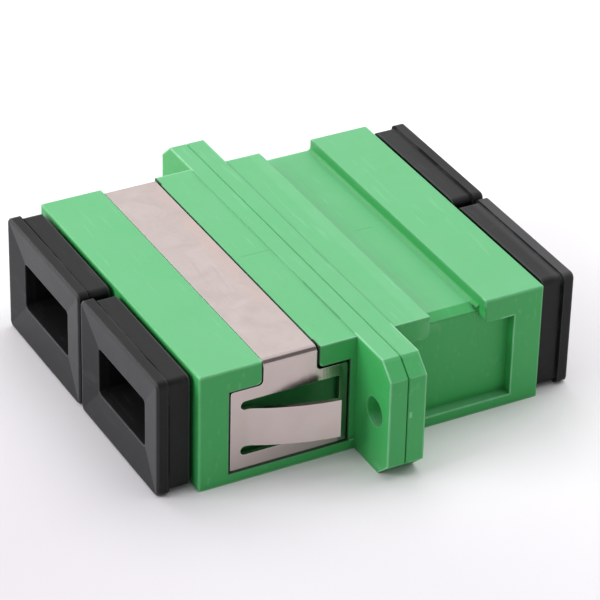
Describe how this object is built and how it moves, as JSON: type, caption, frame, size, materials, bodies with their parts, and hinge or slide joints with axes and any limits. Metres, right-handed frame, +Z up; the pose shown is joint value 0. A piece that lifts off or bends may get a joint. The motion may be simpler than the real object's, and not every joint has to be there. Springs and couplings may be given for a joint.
{
  "type": "duplex fibre adapter",
  "caption": "Duplex SC fibre adapter with a two-hole flange, a snap-in panel clip and push-in dust caps over its ports.",
  "frame": {"origin": "on the resting face, under the middle of the flange seam, midway between the two ports", "axes": "+X across the ports, +Y along the fibres away from the clip, +Z up"},
  "size_m": [0.0356, 0.0332, 0.0094],
  "materials": {
    "green_plastic": "satin moulded",
    "spring_steel": "bright rolled",
    "natural_plastic": "satin moulded",
    "zirconia": "polished ceramic",
    "black_plastic": "satin moulded"
  },
  "bodies": {
    "adapter": {"front_housing": "green_plastic", "rear_housing": "green_plastic", "panel_clip": "spring_steel", "alignment_sleeve_left": "zirconia", "latch_insert_front_left": "natural_plastic", "latch_insert_rear_left": "natural_plastic", "alignment_sleeve_right": "zirconia", "latch_insert_front_right": "natural_plastic", "latch_insert_rear_right": "natural_plastic"},
    "dust_cap_front_left": {"dust_cap_front_left": "black_plastic"},
    "dust_cap_rear_left": {"dust_cap_rear_left": "black_plastic"},
    "dust_cap_front_right": {"dust_cap_front_right": "black_plastic"},
    "dust_cap_rear_right": {"dust_cap_rear_right": "black_plastic"}
  },
  "joints": [
    {"name": "dust_cap_front_left_pull", "type": "slide", "parent": "adapter", "child": "dust_cap_front_left", "axis": [0, -1, 0], "range_m": [0, 0.02]},
    {"name": "dust_cap_rear_left_pull", "type": "slide", "parent": "adapter", "child": "dust_cap_rear_left", "axis": [0, 1, 0], "range_m": [0, 0.02]},
    {"name": "dust_cap_front_right_pull", "type": "slide", "parent": "adapter", "child": "dust_cap_front_right", "axis": [0, -1, 0], "range_m": [0, 0.02]},
    {"name": "dust_cap_rear_right_pull", "type": "slide", "parent": "adapter", "child": "dust_cap_rear_right", "axis": [0, 1, 0], "range_m": [0, 0.02]}
  ]
}
